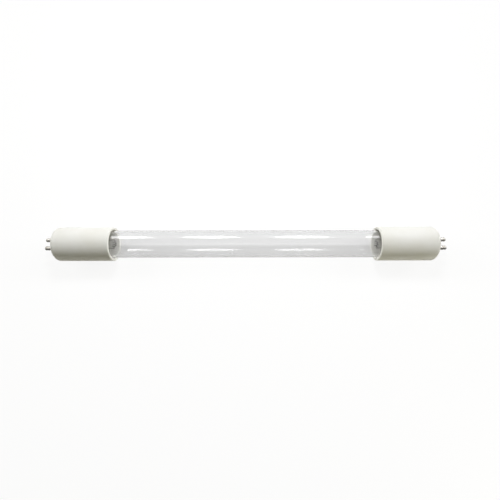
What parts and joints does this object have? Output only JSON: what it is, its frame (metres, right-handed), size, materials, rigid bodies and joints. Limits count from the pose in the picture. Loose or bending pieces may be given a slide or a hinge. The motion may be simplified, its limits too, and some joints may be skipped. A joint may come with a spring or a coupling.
{
  "type": "uvc germicidal lamp tube",
  "caption": "Straight clear quartz germicidal discharge lamp with a ceramic cap and two contact pins at each end.",
  "frame": {"origin": "middle of the lamp, on its axis", "axes": "+X along the lamp's axis towards the right end; the four pins lie in the XY plane, side by side along Y; +Z is square to that plane"},
  "size_m": [0.2262, 0.019, 0.019],
  "materials": {
    "quartz_glass": "clear and polished",
    "mercury": "bright liquid metal",
    "cap_ceramic": "fired, dull satin",
    "cement": "dry and grainy",
    "emitter_coil": "dull grey coated wire",
    "lead_wire": "drawn wire",
    "molybdenum_foil": "thin rolled foil",
    "pin_metal": "nickel plated"
  },
  "bodies": {
    "root": {"quartz_tube": "quartz_glass", "mercury_bead": "mercury", "left_cap": "cap_ceramic", "left_cement": "cement", "left_filament": "emitter_coil", "left_inner_lead_front": "lead_wire", "left_inner_lead_back": "lead_wire", "left_foil_front": "molybdenum_foil", "left_foil_back": "molybdenum_foil", "left_outer_lead_front": "lead_wire", "left_outer_lead_back": "lead_wire", "left_pin_front": "pin_metal", "left_pin_back": "pin_metal", "right_cap": "cap_ceramic", "right_cement": "cement", "right_filament": "emitter_coil", "right_inner_lead_front": "lead_wire", "right_inner_lead_back": "lead_wire", "right_foil_front": "molybdenum_foil", "right_foil_back": "molybdenum_foil", "right_outer_lead_front": "lead_wire", "right_outer_lead_back": "lead_wire", "right_pin_front": "pin_metal", "right_pin_back": "pin_metal"}
  },
  "joints": []
}
